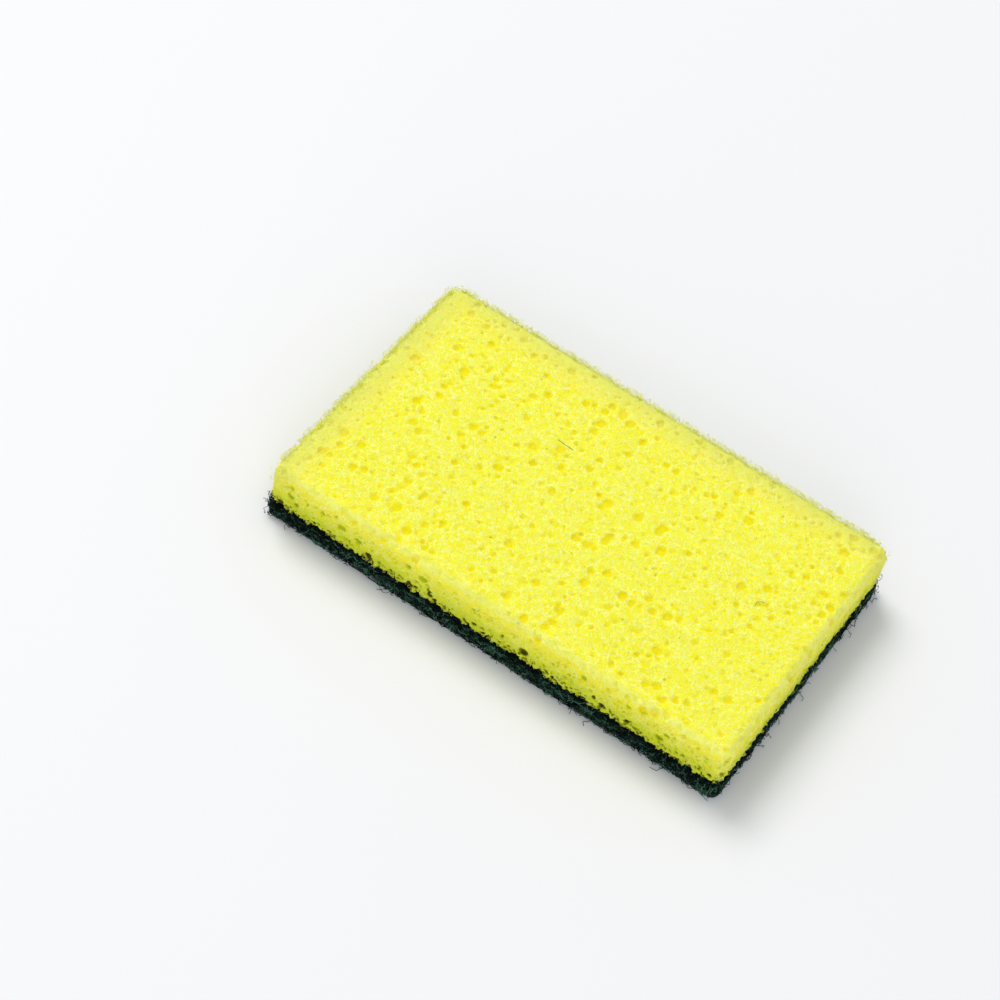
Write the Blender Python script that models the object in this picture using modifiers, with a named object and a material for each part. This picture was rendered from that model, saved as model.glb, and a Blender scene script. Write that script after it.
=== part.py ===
"""Sponge scrubber: a porous yellow sponge block with a green scouring pad bonded under it.

Metres, +Z up. The origin is under the middle of the pad, which lies flat with the sponge side
up. +X runs along the length and +Y across the width.
"""

import math
import random

import bmesh
import bpy
from mathutils import Euler, Matrix, Vector

# Sponge block
SPONGE_LENGTH = 0.155
SPONGE_WIDTH = 0.093
SPONGE_THICKNESS = 0.0154
SPONGE_EDGE_RADIUS = 0.0013
SPONGE_EDGE_SEGMENTS = 2

# Pores of the sponge: radii of the open cells, the wall left between two of them, and how
# many there are on a square metre of each kind of face
WIDE_PORE_RADII = (0.0016, 0.0023)
FINE_PORE_RADII = (0.0011, 0.0016)
PORE_WALL = 0.0005
WIDE_PORES_ON_TOP = 3000
FINE_PORES_ON_TOP = 5600
WIDE_PORES_ON_SIDES = 5200
FINE_PORES_ON_SIDES = 7500
PORE_STRETCH = (0.80, 1.25)
PORE_SINK = (0.20, 0.50)
TRIES_PER_PORE = 30

# Middle of the sponge's top face that stays free of pores, to rest the part on
FLAT_SPOT_RADIUS = 0.003

# Room that the soaked-in adhesive takes between the sponge and the pad
BOND_GAP = 0.0003

# Scouring pad: its cut edge lies a little inside the sponge's and is frayed, which pulls each
# point of its wall in by up to the fray's depth and lets its rows wander by a share of a row
PAD_THICKNESS = 0.0056
PAD_INSET = 0.0003
PAD_CORNER_RADIUS = 0.0030
PAD_FRAY_DEPTH = 0.0010
PAD_FRAY_PITCH = 0.0030
PAD_FRAY_ROWS = 3
PAD_FACE_ROUNDING = 0.0006
PAD_ROW_WANDER = 0.25

# Hollows between the clumps of fibre on the pad's open face
HOLLOW_RADII = (0.0025, 0.0050)
HOLLOW_DEPTH = 0.0006
HOLLOW_WALL = 0.0012
HOLLOW_NARROWING = (0.6, 1.0)
HOLLOWS_PER_AREA = 3200
HOLLOW_FREE_RADIUS = 0.010
TRIES_PER_HOLLOW = 30

SEED = 7

PAD_TOP = PAD_THICKNESS
SPONGE_BOTTOM = PAD_TOP + BOND_GAP
SPONGE_TOP = SPONGE_BOTTOM + SPONGE_THICKNESS

SPONGE_YELLOW = (0.86, 0.76, 0.07, 1.0)
PAD_GREEN = (0.010, 0.042, 0.032, 1.0)


def clear_scene():
    """Remove every object that the scene starts with."""
    for existing in list(bpy.data.objects):
        bpy.data.objects.remove(existing, do_unlink=True)


def new_collection(name):
    """Make a collection in the scene and return it."""
    collection = bpy.data.collections.new(name)
    bpy.context.scene.collection.children.link(collection)
    return collection


def surface(name, colour, roughness):
    """Make a Principled material of one colour."""
    material = bpy.data.materials.new(name)
    material.use_nodes = True
    shader = material.node_tree.nodes["Principled BSDF"]
    shader.inputs["Base Color"].default_value = colour
    shader.inputs["Roughness"].default_value = roughness
    shader.inputs["Metallic"].default_value = 0.0
    return material


def mesh_object(name, bm, collection):
    """Turn a bmesh into an object in the collection."""
    mesh = bpy.data.meshes.new(name)
    bm.to_mesh(mesh)
    bm.free()
    made = bpy.data.objects.new(name, mesh)
    collection.objects.link(made)
    return made


def cut_with(target, cutter):
    """Subtract a closed cutter from the target and keep the cutter out of sight."""
    cutter.hide_render = True
    cutter.display_type = "WIRE"
    modifier = target.modifiers.new(cutter.name, "BOOLEAN")
    modifier.operation = "DIFFERENCE"
    modifier.solver = "EXACT"
    modifier.object = cutter


class PoreField:
    """Round cells that open through a surface and keep a wall between each other."""

    def __init__(self, rng, wall):
        self.rng = rng
        self.wall = wall
        self.cells = []
        self.bm = bmesh.new()

    def keep_free(self, centre, radius):
        """Leave a round spot of the surface without cells."""
        self.cells.append((centre, radius))

    def is_clear(self, centre, radius):
        """Tell whether a cell of this size leaves the wall to each cell placed before it."""
        return all(
            (centre - other).length > radius + other_radius + self.wall
            for other, other_radius in self.cells
        )

    def add_cell(self, centre, radius):
        """Add one cell as a stretched and turned icosphere."""
        turn = Euler([self.rng.uniform(0.0, math.tau) for _ in range(3)]).to_matrix().to_4x4()
        stretch = Matrix.Diagonal([self.rng.uniform(*PORE_STRETCH) for _ in range(3)]).to_4x4()
        place = Matrix.Translation(centre) @ turn @ stretch
        bmesh.ops.create_icosphere(self.bm, subdivisions=1, radius=radius, matrix=place)
        self.cells.append((centre, radius * PORE_STRETCH[1]))

    def fill_face(self, face, per_area, radii):
        """Scatter cells over a face, given as its middle, its two half sides and its normal."""
        middle, half_u, half_v, normal = face
        area = 4.0 * half_u.length * half_v.length
        for _ in range(round(per_area * area)):
            for _ in range(TRIES_PER_PORE):
                radius = self.rng.uniform(*radii)
                sink = radius * self.rng.uniform(*PORE_SINK)
                along_u = half_u * self.rng.uniform(-1.0, 1.0)
                along_v = half_v * self.rng.uniform(-1.0, 1.0)
                centre = middle + along_u + along_v - normal * sink
                if self.is_clear(centre, radius * PORE_STRETCH[1]):
                    self.add_cell(centre, radius)
                    break


def sponge_faces():
    """Return the top face and the four side faces of the sponge block."""
    half_x = Vector((SPONGE_LENGTH / 2.0, 0.0, 0.0))
    half_y = Vector((0.0, SPONGE_WIDTH / 2.0, 0.0))
    half_z = Vector((0.0, 0.0, SPONGE_THICKNESS / 2.0))
    middle = Vector((0.0, 0.0, (SPONGE_BOTTOM + SPONGE_TOP) / 2.0))
    top = (middle + half_z, half_x, half_y, Vector((0.0, 0.0, 1.0)))
    sides = []
    for sign in (-1.0, 1.0):
        sides.append((middle + half_y * sign, half_x, half_z, Vector((0.0, sign, 0.0))))
        sides.append((middle + half_x * sign, half_y, half_z, Vector((sign, 0.0, 0.0))))
    return top, sides


def make_sponge(parts, cutters):
    """Make the sponge block: rounded edges, and cells that break through its open faces."""
    bm = bmesh.new()
    block = Matrix.Diagonal((SPONGE_LENGTH, SPONGE_WIDTH, SPONGE_THICKNESS, 1.0))
    place = Matrix.Translation((0.0, 0.0, (SPONGE_BOTTOM + SPONGE_TOP) / 2.0))
    bmesh.ops.create_cube(bm, size=1.0, matrix=place @ block)
    weight = bm.edges.layers.float.new("bevel_weight_edge")
    for edge in bm.edges:
        is_bonded = max(vert.co.z for vert in edge.verts) < (SPONGE_BOTTOM + SPONGE_TOP) / 2.0
        edge[weight] = 0.0 if is_bonded else 1.0
    sponge = mesh_object("sponge", bm, parts)
    sponge.data.materials.append(surface("sponge_yellow", SPONGE_YELLOW, 0.9))

    rounding = sponge.modifiers.new("rounded_edges", "BEVEL")
    rounding.limit_method = "WEIGHT"
    rounding.width = SPONGE_EDGE_RADIUS
    rounding.segments = SPONGE_EDGE_SEGMENTS

    field = PoreField(random.Random(SEED), PORE_WALL)
    top, sides = sponge_faces()
    field.keep_free(top[0], FLAT_SPOT_RADIUS)
    field.fill_face(top, WIDE_PORES_ON_TOP, WIDE_PORE_RADII)
    for side in sides:
        field.fill_face(side, WIDE_PORES_ON_SIDES, WIDE_PORE_RADII)
    field.fill_face(top, FINE_PORES_ON_TOP, FINE_PORE_RADII)
    for side in sides:
        field.fill_face(side, FINE_PORES_ON_SIDES, FINE_PORE_RADII)
    cut_with(sponge, mesh_object("pore_cutter", field.bm, cutters))
    return sponge


def slab_mesh(length, width, thickness):
    """Make a slab with a fine grid on its edge walls and one face on each side."""
    bm = bmesh.new()
    block = Matrix.Diagonal((length, width, thickness, 1.0))
    bmesh.ops.create_cube(bm, size=1.0, matrix=block)
    sizes = (length, width, thickness)
    counts = (
        max(2, round(length / PAD_FRAY_PITCH)),
        max(2, round(width / PAD_FRAY_PITCH)),
        PAD_FRAY_ROWS,
    )
    for axis in range(3):
        along = [
            edge for edge in bm.edges
            if abs(edge.verts[0].co[axis] - edge.verts[1].co[axis]) > sizes[axis] / 2.0
        ]
        bmesh.ops.subdivide_edges(bm, edges=along, cuts=counts[axis] - 1, use_grid_fill=True)
    bm.normal_update()
    for side in (-1.0, 1.0):
        flat = [face for face in bm.faces if face.normal.z * side > 0.5]
        bmesh.ops.dissolve_faces(bm, faces=flat, use_verts=True)
    return bm


def fray(bm, length, width, thickness, rng):
    """Round the slab's corners and pull its edge wall in and out like cut fibres."""
    core_x = length / 2.0 - PAD_CORNER_RADIUS
    core_y = width / 2.0 - PAD_CORNER_RADIUS
    row = thickness / PAD_FRAY_ROWS
    for vert in bm.verts:
        x, y, z = vert.co
        core = Vector((min(max(x, -core_x), core_x), min(max(y, -core_y), core_y), 0.0))
        outward = Vector((x, y, 0.0)) - core
        outward.normalize()
        is_face_row = abs(z) > thickness / 2.0 - row / 2.0
        pull = PAD_FRAY_DEPTH * rng.random()
        if is_face_row:
            pull += PAD_FACE_ROUNDING
        lift = 0.0 if is_face_row else row * rng.uniform(-PAD_ROW_WANDER, PAD_ROW_WANDER)
        vert.co = core + outward * (PAD_CORNER_RADIUS - pull)
        vert.co.z = z + lift


def hollow_cutter(length, width, rng, cutters):
    """Make the shallow hollows of the pad's open face, clear of its edge and its middle."""
    bm = bmesh.new()
    hollows = []
    reach_x = length / 2.0 - HOLLOW_RADII[1] - HOLLOW_WALL - PAD_FRAY_DEPTH
    reach_y = width / 2.0 - HOLLOW_RADII[1] - HOLLOW_WALL - PAD_FRAY_DEPTH
    for _ in range(round(HOLLOWS_PER_AREA * length * width)):
        for _ in range(TRIES_PER_HOLLOW):
            radius = rng.uniform(*HOLLOW_RADII)
            centre = Vector((rng.uniform(-reach_x, reach_x), rng.uniform(-reach_y, reach_y), 0.0))
            apart = all(
                (centre - other).length > radius + other_radius + HOLLOW_WALL
                for other, other_radius in hollows
            )
            if apart and centre.length > radius + HOLLOW_FREE_RADIUS:
                turn = Matrix.Rotation(rng.uniform(0.0, math.tau), 4, "Z")
                narrow = radius * rng.uniform(*HOLLOW_NARROWING)
                oval = Matrix.Diagonal((radius, narrow, HOLLOW_DEPTH, 1.0))
                place = Matrix.Translation(centre) @ turn @ oval
                bmesh.ops.create_icosphere(bm, subdivisions=1, radius=1.0, matrix=place)
                hollows.append((centre, radius))
                break
    return mesh_object("hollow_cutter", bm, cutters)


def make_scouring_pad(parts, cutters):
    """Make the scouring pad: a frayed slab with shallow hollows in its open face."""
    rng = random.Random(SEED)
    length = SPONGE_LENGTH - 2.0 * PAD_INSET
    width = SPONGE_WIDTH - 2.0 * PAD_INSET
    bm = slab_mesh(length, width, PAD_THICKNESS)
    fray(bm, length, width, PAD_THICKNESS, rng)
    bmesh.ops.translate(bm, verts=bm.verts, vec=(0.0, 0.0, PAD_THICKNESS / 2.0))
    pad = mesh_object("scouring_pad", bm, parts)
    pad.data.materials.append(surface("scouring_green", PAD_GREEN, 0.8))
    cut_with(pad, hollow_cutter(length, width, rng, cutters))
    return pad


def main():
    """Build the two layers of the sponge scrubber."""
    clear_scene()
    parts = new_collection("sponge_scrubber")
    cutters = new_collection("cutters")
    make_sponge(parts, cutters)
    make_scouring_pad(parts, cutters)


main()
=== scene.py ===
"""Looks of the sponge scrubber: porous yellow sponge over a dark green pad of curled fibres."""

import logging
import math
import random
from dataclasses import dataclass, field
from enum import Enum
from typing import Any

import bmesh
import bpy
import numpy as np
from mathutils import Matrix, Vector


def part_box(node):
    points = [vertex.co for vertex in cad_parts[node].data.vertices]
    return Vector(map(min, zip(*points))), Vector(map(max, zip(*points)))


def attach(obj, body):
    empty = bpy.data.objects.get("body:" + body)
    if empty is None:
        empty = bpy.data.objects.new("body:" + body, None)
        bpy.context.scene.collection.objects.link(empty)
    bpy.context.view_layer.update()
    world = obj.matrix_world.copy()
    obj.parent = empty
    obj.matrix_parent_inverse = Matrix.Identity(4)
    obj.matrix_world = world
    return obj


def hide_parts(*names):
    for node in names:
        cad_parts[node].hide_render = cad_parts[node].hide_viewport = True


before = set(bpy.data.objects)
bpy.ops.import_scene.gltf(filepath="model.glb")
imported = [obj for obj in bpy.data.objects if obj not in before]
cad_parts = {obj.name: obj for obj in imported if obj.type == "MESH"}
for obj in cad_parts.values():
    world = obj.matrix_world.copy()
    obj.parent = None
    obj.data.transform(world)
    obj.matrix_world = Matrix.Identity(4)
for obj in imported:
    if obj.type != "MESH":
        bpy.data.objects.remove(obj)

MM = 0.001
BODY = "root"
WALL_VOXELS = 3.0
ROOM_VOXELS = 4.0

log = logging.getLogger("sponge_scrubber")


@dataclass(frozen=True, eq=False)
class Wire:
    """An output of a node, so that node maths reads as a Python expression."""

    graph: "Graph"
    socket: bpy.types.NodeSocket

    @property
    def is_vector(self) -> bool:
        """Tell whether the socket carries a vector or a colour."""
        return self.socket.type in {"VECTOR", "RGBA"}

    def _join(self, operation: str, first: Any, second: Any) -> "Wire":
        """Add one maths node, for vectors if either side is one."""
        sides = (first, second)
        if any(isinstance(side, Wire) and side.is_vector for side in sides):
            return self.graph.vector(operation, *sides)
        return self.graph.maths(operation, *sides)

    def __add__(self, other: Any) -> "Wire":
        """Return self + other."""
        return self._join("ADD", self, other)

    def __radd__(self, other: Any) -> "Wire":
        """Return other + self."""
        return self._join("ADD", other, self)

    def __sub__(self, other: Any) -> "Wire":
        """Return self - other."""
        return self._join("SUBTRACT", self, other)

    def __rsub__(self, other: Any) -> "Wire":
        """Return other - self."""
        return self._join("SUBTRACT", other, self)

    def __mul__(self, other: Any) -> "Wire":
        """Return self * other."""
        return self._join("MULTIPLY", self, other)

    def __rmul__(self, other: Any) -> "Wire":
        """Return other * self."""
        return self._join("MULTIPLY", other, self)

    def __truediv__(self, other: Any) -> "Wire":
        """Return self / other."""
        return self._join("DIVIDE", self, other)

    def __rtruediv__(self, other: Any) -> "Wire":
        """Return other / self."""
        return self._join("DIVIDE", other, self)


class Graph:
    """A node tree that is filled from Python."""

    def __init__(self, tree: bpy.types.NodeTree) -> None:
        """Wrap a shader or geometry node tree."""
        self.tree = tree

    def node(self, kind: str, settings: dict[str, Any] | None = None, **sockets: Any) -> bpy.types.Node:
        """Add a node.

        Args:
            kind: The node's type name.
            settings: Its properties, which are set before its sockets.
            sockets: Values or wires by socket name, with _ for a space, or s0, s1 for a place.

        Returns:
            The new node.
        """
        made = self.tree.nodes.new(kind)
        for name, value in (settings or {}).items():
            setattr(made, name, value)
        for name, value in sockets.items():
            self.put(self._socket(made, name), value)
        return made

    @staticmethod
    def _socket(made: bpy.types.Node, name: str) -> bpy.types.NodeSocket:
        """Find an input by its name or by its place."""
        if name[0] == "s" and name[1:].isdigit():
            return made.inputs[int(name[1:])]
        return made.inputs[name.replace("_", " ")]

    def put(self, socket: bpy.types.NodeSocket, value: Any) -> None:
        """Link a wire to an input, or set the input's own value."""
        if isinstance(value, Wire):
            self.tree.links.new(value.socket, socket)
        else:
            socket.default_value = value

    def out(self, made: bpy.types.Node, name: str | int = 0) -> Wire:
        """Wrap one of a node's outputs."""
        return Wire(self, made.outputs[name])

    def read(self, kind: str, settings: dict[str, Any] | None = None, **sockets: Any) -> Wire:
        """Add a node and wrap its first output."""
        return self.out(self.node(kind, settings, **sockets))

    def maths(self, operation: str, *values: Any) -> Wire:
        """Add a Math node on numbers."""
        sockets = {f"s{place}": value for place, value in enumerate(values)}
        return self.read("ShaderNodeMath", {"operation": operation}, **sockets)

    def vector(self, operation: str, *values: Any) -> Wire:
        """Add a Vector Math node; a plain number on one side scales the other."""
        numbers = [value for value in values if isinstance(value, (int, float))]
        if operation == "MULTIPLY" and numbers:
            wires = [value for value in values if isinstance(value, Wire)]
            return self.scaled(wires[0], numbers[0])
        sockets = {f"s{place}": value for place, value in enumerate(values)}
        made = self.node("ShaderNodeVectorMath", {"operation": operation}, **sockets)
        return self.out(made, "Value" if operation == "LENGTH" else 0)

    def parts(self, wire: Wire) -> tuple[Wire, Wire, Wire]:
        """Split a vector into x, y and z."""
        made = self.node("ShaderNodeSeparateXYZ", s0=wire)
        return self.out(made, 0), self.out(made, 1), self.out(made, 2)

    def joined(self, x: Any, y: Any, z: Any) -> Wire:
        """Make a vector of x, y and z."""
        return self.read("ShaderNodeCombineXYZ", s0=x, s1=y, s2=z)

    def scaled(self, wire: Wire, factor: Any) -> Wire:
        """Multiply a vector by a number or by a number's wire."""
        return self.read("ShaderNodeVectorMath", {"operation": "SCALE"}, s0=wire, Scale=factor)

    def least(self, first: Any, second: Any) -> Wire:
        """Return the smaller of two numbers."""
        return self.maths("MINIMUM", first, second)

    def most(self, first: Any, second: Any) -> Wire:
        """Return the larger of two numbers."""
        return self.maths("MAXIMUM", first, second)

    def ramp(self, value: Wire, low: Any, high: Any, smooth: bool = True) -> Wire:
        """Map low..high to 0..1, held at both ends, which are eased if smooth."""
        settings = {"interpolation_type": "SMOOTHSTEP" if smooth else "LINEAR"}
        return self.read("ShaderNodeMapRange", settings, Value=value, From_Min=low, From_Max=high)

    def noise(self, place: Wire, scale: float, detail: float, roughness: float) -> Wire:
        """Return a noise value around 0.5, with so many waves a metre and so many octaves."""
        sockets = {"Vector": place, "Scale": scale, "Detail": detail, "Roughness": roughness}
        return self.read("ShaderNodeTexNoise", **sockets)

    def sway(self, wave: bpy.types.Node, amount: Any) -> Wire:
        """Turn a noise node's colour into a push to either side, scaled by an amount."""
        return self.scaled(self.out(wave, "Color") - (0.5, 0.5, 0.5), amount)


class Shader(Graph):
    """A material's node tree with one Principled shader."""

    def __init__(self, name: str) -> None:
        """Make a material of the given name."""
        self.material = bpy.data.materials.new(name)
        self.material.use_nodes = True
        super().__init__(self.material.node_tree)
        self.principled = self.tree.nodes["Principled BSDF"]
        self.place = self.out(self.node("ShaderNodeTexCoord"), "Object")

    def mix(self, factor: Any, first: Any, second: Any) -> Wire:
        """Mix two colours, the factor being how much of the second one shows."""
        return self.out(self.node("ShaderNodeMix", {"data_type": "RGBA"}, s0=factor, s6=first, s7=second), 2)

    def bump(self, height: Any, distance: float, strength: float) -> Wire:
        """Turn a height into a normal, the distance being what a height of 1 stands for."""
        return self.read("ShaderNodeBump", Strength=strength, Distance=distance, Height=height)

    def finish(self, **sockets: Any) -> bpy.types.Material:
        """Set the Principled shader's sockets and return the material."""
        for name, value in sockets.items():
            self.put(self.principled.inputs[name.replace("_", " ")], value)
        return self.material


class Shape(Graph):
    """A Geometry Nodes tree with named inputs, run once on an empty mesh."""

    KINDS = {
        float: "NodeSocketFloat",
        int: "NodeSocketInt",
        Vector: "NodeSocketVector",
        bpy.types.Material: "NodeSocketMaterial",
        bpy.types.Object: "NodeSocketObject",
    }

    def __init__(self, name: str, **inputs: Any) -> None:
        """Make the tree.

        Args:
            name: The tree's name.
            inputs: The named inputs and their values, with _ for a space. A pair makes two
                inputs, whose names begin with Least and Most.
        """
        for label in [label for label, value in inputs.items() if isinstance(value, tuple)]:
            inputs[f"Least_{label}"], inputs[f"Most_{label}"] = inputs.pop(label)
        super().__init__(bpy.data.node_groups.new(name, "GeometryNodeTree"))
        self.values = inputs
        self.identifiers: dict[str, str] = {}
        for label, value in inputs.items():
            kind = next(kind for base, kind in self.KINDS.items() if isinstance(value, base))
            title = label.replace("_", " ")
            socket = self.tree.interface.new_socket(title, in_out="INPUT", socket_type=kind)
            self.identifiers[label] = socket.identifier
        self.tree.interface.new_socket("Geometry", in_out="OUTPUT", socket_type="NodeSocketGeometry")
        self.entry = self.tree.nodes.new("NodeGroupInput")

    def given(self, label: str) -> Wire:
        """Return a named input of the tree."""
        return self.out(self.entry, label.replace("_", " "))

    def between(self, label: str, seed: int) -> Wire:
        """Return a random number for each element, between the two ends of a pair."""
        return self.uniform(self.given(f"Least_{label}"), self.given(f"Most_{label}"), seed)

    def uniform(self, low: Any, high: Any, seed: int) -> Wire:
        """Return a random number for each element."""
        made = self.node("FunctionNodeRandomValue", {"data_type": "FLOAT"}, s2=low, s3=high, Seed=seed)
        return self.out(made, 1)

    def uniform_vector(self, seed: int) -> Wire:
        """Return three random numbers from 0 to 1 for each element."""
        return self.read("FunctionNodeRandomValue", {"data_type": "FLOAT_VECTOR"}, Seed=seed)

    def planted(self, points: Wire, curve: Wire, turn: Wire, size: Wire) -> Wire:
        """Put a copy of a curve, turned and sized, on each point."""
        sizes = self.joined(size, size, size)
        placed = self.read(
            "GeometryNodeInstanceOnPoints", Points=points, Instance=curve, Rotation=turn, Scale=sizes
        )
        return self.read("GeometryNodeRealizeInstances", s0=placed)

    def tube(self, curve: Wire, radius: Wire, capped: bool) -> Wire:
        """Sweep a three-sided tube along a curve."""
        profile = self.read("GeometryNodeCurvePrimitiveCircle", Resolution=3, Radius=radius)
        return self.read("GeometryNodeCurveToMesh", Curve=curve, Profile_Curve=profile, Fill_Caps=capped)

    def run(self, result: Wire, material: str) -> bpy.types.Mesh:
        """End the tree in Realize Instances and Set Material and turn it into a mesh.

        Args:
            result: The geometry.
            material: The name of the tree's material input.

        Returns:
            The plain mesh.
        """
        realized = self.read("GeometryNodeRealizeInstances", s0=result)
        painted = self.node("GeometryNodeSetMaterial", s0=realized, Material=self.given(material))
        self.node("NodeGroupOutput", s0=self.out(painted))
        carrier = new_object(self.tree.name, bpy.data.meshes.new(self.tree.name))
        modifier = carrier.modifiers.new("shape", "NODES")
        modifier.node_group = self.tree
        for label, identifier in self.identifiers.items():
            modifier[identifier] = self.values[label]
        mesh = evaluated_mesh(carrier)
        bpy.data.objects.remove(carrier, do_unlink=True)
        return mesh


def inputs_of(owner: Any, *names: str) -> dict[str, Any]:
    """Return an owner's fields under the names of a tree's inputs."""
    return {name.title(): getattr(owner, name) for name in names}


def column(items: Any, name: str, width: int = 1, kind: type = np.int32) -> np.ndarray:
    """Read one property of a mesh's vertices, edges, corners or polygons as one array."""
    values = np.empty(len(items) * width, dtype=kind)
    items.foreach_get(name, values)
    return values


def new_object(name: str, data: bpy.types.ID) -> bpy.types.Object:
    """Link a new object at the origin to the scene."""
    made = bpy.data.objects.new(name, data)
    bpy.context.scene.collection.objects.link(made)
    return made


def evaluated_mesh(source: bpy.types.Object) -> bpy.types.Mesh:
    """Return a plain mesh of an object with its modifiers applied."""
    depsgraph = bpy.context.evaluated_depsgraph_get()
    return bpy.data.meshes.new_from_object(source.evaluated_get(depsgraph))


def triangles(mesh: bpy.types.Mesh) -> int:
    """Count a mesh's triangles."""
    mesh.calc_loop_triangles()
    return len(mesh.loop_triangles)


def largest_island(mesh: bpy.types.Mesh) -> np.ndarray:
    """Mark the vertices of the largest connected part of a mesh.

    Args:
        mesh: The mesh.

    Returns:
        One truth value for each vertex.
    """
    ends = column(mesh.edges, "vertices", 2).reshape(-1, 2)
    label = np.arange(len(mesh.vertices))
    settled = False
    while not settled:
        lower = np.minimum(label[ends[:, 0]], label[ends[:, 1]])
        moved = label.copy()
        np.minimum.at(moved, ends[:, 0], lower)
        np.minimum.at(moved, ends[:, 1], lower)
        moved = moved[moved]
        settled = bool((moved == label).all())
        label = moved
    names, counts = np.unique(label, return_counts=True)
    return label == names[counts.argmax()]


def keep_vertices(mesh: bpy.types.Mesh, kept: np.ndarray, material: bpy.types.Material) -> bpy.types.Mesh:
    """Copy the polygons whose vertices are all marked, with their corners in one pass.

    Args:
        mesh: A mesh of triangles and quads.
        kept: One truth value for each vertex.
        material: The copy's material.

    Returns:
        A new mesh.
    """
    places = column(mesh.vertices, "co", 3, np.float32)
    corners = column(mesh.loops, "vertex_index")
    sizes = column(mesh.polygons, "loop_total")
    wanted = kept[corners[column(mesh.polygons, "loop_start")]]
    in_wanted = np.repeat(wanted, sizes)
    renumber = np.cumsum(kept) - 1
    copy = bpy.data.meshes.new(mesh.name)
    copy.vertices.add(int(kept.sum()))
    copy.vertices.foreach_set("co", places.reshape(-1, 3)[kept].ravel())
    copy.loops.add(int(in_wanted.sum()))
    copy.loops.foreach_set("vertex_index", renumber[corners[in_wanted]].astype(np.int32))
    copy.polygons.add(int(wanted.sum()))
    new_sizes = sizes[wanted]
    new_starts = np.concatenate(([0], np.cumsum(new_sizes)[:-1])).astype(np.int32)
    copy.polygons.foreach_set("loop_start", new_starts)
    copy.polygons.foreach_set("loop_total", new_sizes)
    copy.materials.append(material)
    copy.update(calc_edges=True)
    copy.validate()
    return copy


def thinned(mesh: bpy.types.Mesh, budget: int) -> bpy.types.Mesh:
    """Return a copy of a mesh with no more triangles than a budget allows."""
    carrier = new_object("thinned", mesh)
    count = triangles(mesh)
    if count > budget:
        carrier.modifiers.new("thinning", "DECIMATE").ratio = budget / count
    result = evaluated_mesh(carrier)
    bpy.data.objects.remove(carrier, do_unlink=True)
    return result


def from_faces(shape: Shape, place: Wire, low: Wire, high: Wire) -> tuple[Wire, Wire, Wire]:
    """Return how far a place lies inside a block's nearer faces, along x, y and z."""
    offset = shape.vector("ABSOLUTE", place - (low + high) * 0.5)
    return shape.parts((high - low) * 0.5 - offset)


def from_edges(graph: Graph, x: Wire, y: Wire, z: Wire) -> Wire:
    """Return how far a place lies from a block's nearest edge, from its distances to the faces."""
    return graph.most(graph.least(x, y), graph.least(graph.most(x, y), z))


def block_depth(shape: Shape, place: Wire, low: Wire, high: Wire, radius: Wire) -> Wire:
    """Return how far a place lies inside a block with rounded edges.

    Args:
        shape: The tree.
        place: The place that is measured.
        low: The block's lowest corner.
        high: The block's highest corner.
        radius: The radius of its edges.

    Returns:
        The depth in metres, negative outside.
    """
    centre = (low + high) * 0.5
    half = (high - low) * 0.5 - shape.joined(radius, radius, radius)
    offset = shape.vector("ABSOLUTE", place - centre) - half
    outside = shape.vector("LENGTH", shape.vector("MAXIMUM", offset, (0.0, 0.0, 0.0)))
    x, y, z = shape.parts(offset)
    inner = shape.least(shape.most(x, shape.most(y, z)), 0.0)
    return radius - outside - inner


def fill(shape: Shape, inside: Wire, low: Wire, high: Wire, voxel: Wire) -> Wire:
    """Mesh the places where a depth is positive.

    Args:
        shape: The tree.
        inside: The depth, as a field of the position.
        low: The lowest corner of what it fills.
        high: The highest corner of what it fills.
        voxel: The size of a voxel.

    Returns:
        The surface mesh.
    """
    density = shape.read("ShaderNodeClamp", Value=inside / (voxel * WALL_VOXELS) + 0.5)
    step = shape.joined(voxel, voxel, voxel)
    room = step * ROOM_VOXELS
    counts = shape.parts(shape.vector("DIVIDE", high - low + room * 2.0, step))
    sockets = {f"Resolution_{axis}": count for axis, count in zip("XYZ", counts)}
    volume = shape.read(
        "GeometryNodeVolumeCube", Density=density, Min=low - room, Max=high + room, **sockets
    )
    return shape.read("GeometryNodeVolumeToMesh", s0=volume, Threshold=0.5)


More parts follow.
